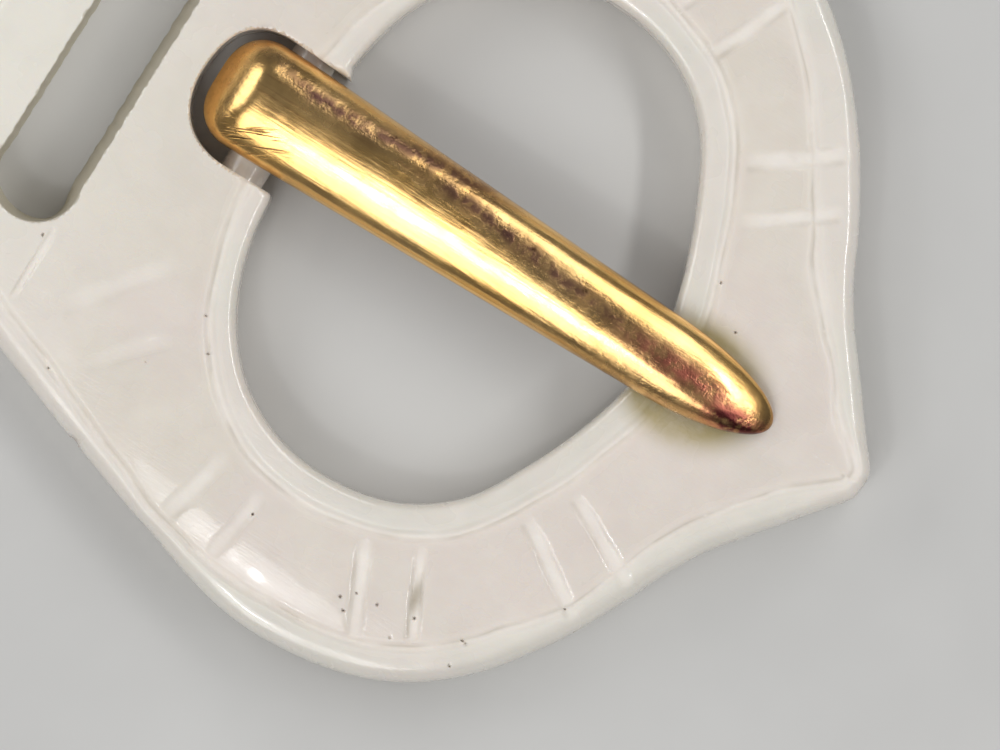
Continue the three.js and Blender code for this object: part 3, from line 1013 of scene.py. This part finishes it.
def gilt_colour(look, place, wide, fine, lines, worn, dark_reflection_band):
    """Streaked gold, with painted dark and reddish reflections, spots, and darker lower edges."""
    colour = look.mix(look.ramp(wide, 0.35, 0.65), rgb(255, 210, 138), rgb(250, 200, 122))
    colour = look.mix(look.ramp(lines, 0.5, 0.72, 0, 0.3), colour, rgb(196, 138, 92))
    # Painted dark reflection, mauve-brown.
    colour = look.mix(dark_reflection_band, colour, rgb(112, 78, 70))
    # Painted reddish reflections, darkest where the mask is strongest, by the tip.
    reddish_reflection = look.times(look.attribute("reddish_reflection"), look.ramp(fine, 0.3, 0.55, 0.5, 1.0))
    deep = look.ramp(look.attribute("reddish_reflection"), 0.75, 1.0)
    colour = look.mix(reddish_reflection, colour, look.mix(deep, rgb(180, 96, 84), rgb(104, 50, 48)))
    spots = look.add("TexVoronoi", {"feature": "F1"}, Vector=place, Scale=620, Randomness=1.0)
    spot = look.times(look.ramp(spots, 0.05, 0.16, 1, 0), look.ramp(fine, 0.5, 0.6))
    spot = look.times(spot, look.math("ADD", worn, 0.25))
    colour = look.mix(look.times(spot, 0.8), colour, rgb(74, 48, 34))
    # Darker towards the tongue's lower edges.
    darkening = look.times(look.attribute("darker_low_edges"), look.ramp(wide, 0.3, 0.7, 0.55, 1.0))
    return look.mix(darkening, colour, rgb(92, 60, 40))


def steel_look():
    look = Look("rusty_steel")
    place = look.place()
    patch = look.noise(place, 900, 4, 0.6)
    colour = look.mix(look.ramp(patch, 0.4, 0.6), rgb(112, 92, 78), rgb(128, 70, 40))
    roughness = look.ramp(patch, 0.35, 0.65, 0.4, 0.85)
    metal = look.ramp(patch, 0.4, 0.65, 0.9, 0.2)
    normal = look.bump(look.noise(place, 3200, 4, 0.7), 0.00002, 0.8)
    return look.finish(Base_Color=colour, Metallic=metal, Roughness=roughness, Normal=normal)


def floor_look():
    look = Look("pale_floor")
    place = look.place()
    tone = look.noise(place, 60, 3, 0.5)
    colour = look.mix(look.ramp(tone, 0.3, 0.7), rgb(205, 204, 201), rgb(211, 210, 207))
    return look.finish(Base_Color=colour, Roughness=0.75)


def store(piece, name, values):
    """Keeps a value per point on a piece, for its material to read."""
    attribute = piece.data.attributes.new(name, "FLOAT", "POINT")
    attribute.data.foreach_set("value", np.asarray(values, np.float32))


def bump_at(points, centre, radii):
    """1 at a place, falling smoothly to 0 at those distances from it along each axis."""
    gap = np.sqrt((((points - centre) / radii) ** 2).sum(1))
    return soft_cut(gap, 2.0)


# Places in the plate's plane: a soiled cut, the middle of the painted reflection of the gilt
# tongue's tip, and a stained corner.
DIRTY_CUT = (10.3, -18.2)
UNDER_TIP = (16.8, -0.2)
STAINED_CORNER = (-12.8, 3.7)


def mark_carving(plate, flat, on_face):
    """Where the carved face is matt, pale, frosted, dirty, painted with shade or pitted."""
    edge_line, opening_line = line_places(flat, distance_to(flat, OUTER))
    depth, shade = cut_depths(flat)

    def lines(edge_width, opening_width):
        return np.maximum(soft_cut(edge_line, edge_width), soft_cut(opening_line, opening_width))

    rim = np.clip(0.5 - np.minimum(edge_line, opening_line) / 0.5, 0, 1)
    # Painted shade: a dark band along the inner side of each carved line and along one side of
    # each cut. Only the cut at DIRTY_CUT is soiled.
    darkening = np.maximum(soft_cut(edge_line - 0.1, 0.32), soft_cut(opening_line - 0.12, 0.3))
    in_cut = bump_at(flat, DIRTY_CUT, (0.9, 2.2)) * np.maximum(shade, depth / 0.14)
    darkening = np.max([0.36 * darkening, 0.4 * shade, 0.55 * in_cut], axis=0)
    matt = np.maximum(1.5 * lines(1.5, 1.7), depth / 0.07)
    frost = np.maximum(0.7 * lines(0.9, 0.9), depth / 0.14)
    store(plate, "rim", rim)
    for name, amount in (
        ("matt", matt), ("frost", frost), ("grime_and_painted_shade", darkening), ("pit", pit_depth(flat) / 0.2)
    ):
        store(plate, name, np.clip(amount, 0, 1) * on_face)


def mark_plate(plate):
    """Where the plate is carved, stained, rusty or left as it was sawn, and where a reflection of
    the gilt tongue is painted.
    """
    points = points_of(plate)
    flat, z = points[:, :2], points[:, 2]
    on_face = np.clip((z - (FACE_Z - 1.2)) / 0.4, 0, 1)
    mark_carving(plate, flat, on_face)
    # A painted reflection of the gilt tongue, glowing yellow-green on the plate round its tip.
    under_tip = bump_at(flat, UNDER_TIP, (5.4, 4.4))
    store(plate, "painted_gold_reflection", np.clip(3.5 * under_tip, 0, 1) * on_face)
    mouth = np.array([HINGE[0], BORE_MOUTH_Y, HINGE[2]])
    nick = mouth + (0, 0, MOUTH_WEAR[-1] - 0.1)
    rust = [bump_at(points, mouth, (1.1, 1.2, 1.1))]
    rust.append(np.clip(1.3 * bump_at(points, nick, (0.65, 0.9, 1.1)), 0, 1))
    for side_y in (NOTCH_NEAR_Y + 0.7, NOTCH_FAR_Y - 0.6):
        rust.append(0.5 * bump_at(points, (HINGE[0] - 1, side_y, HINGE[2]), (1.0, 1.2, 1.8)))
    rust.append(0.6 * bump_at(flat, STAINED_CORNER, (1.0, 0.6)) * on_face)
    store(plate, "rust", np.max(rust, axis=0))
    in_slot = np.clip(1 - (distance_to(flat, SLOT) - 0.02) / 0.06, 0, 1)
    in_slot = np.maximum(in_slot, inside(flat, SLOT))
    store(plate, "sawn", in_slot * np.clip((FACE_Z - 0.05 - z) / 0.05, 0, 1))


def tongue_dark_reflection(x, y):
    """Where dark reflections are painted on the gilding and it is made duller: on the crown's top,
    in a far band, by the heel and low in front.
    """
    along, offset = zip(*CROWN_LINE)
    from_ridge = y - TONGUE_Y - np.interp(x, np.array(along) + HINGE[0], offset)
    ridge = np.exp(-((from_ridge / 0.62) ** 2)) * np.interp(x, [-5, 0, 5, 16], [0, 0.9, 1, 0.75])
    from_band = y - np.interp(x, *zip(*DARK_BAND_LINE))
    dull = np.exp(-((from_band / 0.6) ** 2)) * np.interp(x, [-12.5, -9, 1, 5], [0.3, 1, 0.9, 0])
    heel = 0.15 * np.clip((-11.6 - x) / 1.2, 0, 1)
    low_front = 0.45 * np.clip((x - 6) / 8, 0, 1) * np.clip((-from_ridge - 0.9) / 0.8, 0, 1)
    return np.clip(np.max([ridge, dull, heel, low_front], axis=0), 0, 1)


def tongue_low_darkening(x, z):
    """How much darker the tongue is coloured, along its lower edges."""
    from_hinge = x - HINGE[0]
    lowest = TONGUE_UNDERSIDE + HINGE[2]
    lowest = lowest + np.minimum(from_hinge, TONGUE_BEND) * math.tan(TONGUE_RISE)
    away_from_heel = np.clip((x - tongue_low[0]) / 4, 0.25, 1)
    return np.clip(1 - (z - lowest) / 0.85, 0, 1) ** 0.7 * 0.9 * away_from_heel


def mark_tongue(tongue):
    """Where the gilding is painted with dark and reddish reflections and made duller, where it is
    scratched, and where it is darker along its lower edges.
    """
    points = points_of(tongue)
    flat = points[:, :2]
    x, y, z = points.T
    # Painted dark reflections, with duller gilding there.
    store(tongue, "worn", tongue_dark_reflection(x, y))
    # Painted reddish and dark reflections along the crown and on the tip's near side.
    reddish_reflection = bump_at(flat, (16.4, 0.0), (6.5, 1.45))
    dark_end = bump_at(flat, (20.2, -0.95), (4.2, 1.45))
    store(tongue, "reddish_reflection", np.clip(1.3 * np.maximum(0.62 * reddish_reflection, dark_end), 0, 1))
    store(tongue, "scratched", bump_at(flat, (-10.3, -1.6), (2.8, 1.3)))
    store(tongue, "darker_low_edges", tongue_low_darkening(x, z))


def use_look(piece, material):
    piece.data.materials.clear()
    piece.data.materials.append(material)


# ---------------------------------------------------------------- the buckle

gilt = gilt_look()

plate = carved_plate()
smooth(plate, 40)
mark_plate(plate)
use_look(plate, shell_look())
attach(plate, "plate")
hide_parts("frame")

pin = wire_pin()
smooth(pin, 40)
use_look(pin, steel_look())
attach(pin, "plate")
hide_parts("hinge_pin")

tongue = gilt_tongue()
smooth(tongue, 35)
mark_tongue(tongue)
use_look(tongue, gilt)
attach(tongue, "tongue_arm")
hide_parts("tongue")

knuckle = soldered_knuckle()
smooth(knuckle, 35)
use_look(knuckle, gilt)
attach(knuckle, "tongue_arm")
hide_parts("tongue_knuckle")


# ---------------------------------------------------------------- floor, lights and camera

TURN = math.radians(32)
RIGHT = np.array([math.cos(TURN), math.sin(TURN), 0])
UP = np.array([-math.sin(TURN), math.cos(TURN), 0])
OUT = np.array([0, 0, 1])
LOOK_AT = np.array([7.8, -5.4, FACE_Z])
VIEW_WIDTH = 54.75
CAMERA_HEIGHT = 420.0
SENSOR_WIDTH = 36.0
FLOOR_REACH = 600.0

# Each soft light: its place from the view's centre (to its right, up it and above it), then
# its width, height and watts.
SOFTBOXES = {
    "key_softbox": ((-113, -161, 252), 200, 240, 0.36),
    "key_core": ((-100, -118, 275), 36, 22, 0.055),
    "fill_softbox": ((143, 171, 200), 165, 165, 0.2),
    "side_softbox": ((-230, 138, 160), 170, 200, 0.25),
    "rim_strip": ((193, -5, 230), 26, 220, 0.24),
}


def floor():
    r = FLOOR_REACH
    corners = [(-r, -r, 0), (r, -r, 0), (r, r, 0), (-r, r, 0)]
    made = mesh_object("floor", corners, [(0, 1, 2, 3)])
    use_look(made, floor_look())


def aim(thing, place, target):
    """Puts a light at a place, in millimetres, facing a target."""
    towards = (target - place) / np.linalg.norm(target - place)
    side = np.cross(UP, -towards)
    side /= np.linalg.norm(side)
    above = np.cross(-towards, side)
    thing.matrix_world = Matrix((
        (side[0], above[0], -towards[0], place[0] * MM),
        (side[1], above[1], -towards[1], place[1] * MM),
        (side[2], above[2], -towards[2], place[2] * MM),
        (0, 0, 0, 1),
    ))


def softbox(name, place, width, height, watts):
    light = bpy.data.lights.new(name, "AREA")
    light.shape = "RECTANGLE"
    light.size, light.size_y = width * MM, height * MM
    light.energy = watts
    right, up, out = place
    aim(linked(name, light), LOOK_AT + RIGHT * right + UP * up + OUT * out, LOOK_AT)


def camera():
    lens = bpy.data.cameras.new("camera")
    lens.sensor_width = SENSOR_WIDTH
    lens.lens = SENSOR_WIDTH * CAMERA_HEIGHT / VIEW_WIDTH
    lens.clip_start, lens.clip_end = 0.01, 10
    made = linked("camera", lens)
    made.location = (LOOK_AT + OUT * CAMERA_HEIGHT) * MM
    made.rotation_euler = (0, 0, TURN)
    bpy.context.scene.camera = made


def sky():
    world = bpy.data.worlds.new("studio")
    world.use_nodes = True
    shade = world.node_tree.nodes["Background"]
    shade.inputs["Color"].default_value = (0.9, 0.93, 1.0, 1)
    shade.inputs["Strength"].default_value = 0.15
    bpy.context.scene.world = world


bpy.context.scene.view_settings.view_transform = "Standard"
floor()
sky()
for name, (place, *size_and_watts) in SOFTBOXES.items():
    softbox(name, place, *size_and_watts)
camera()
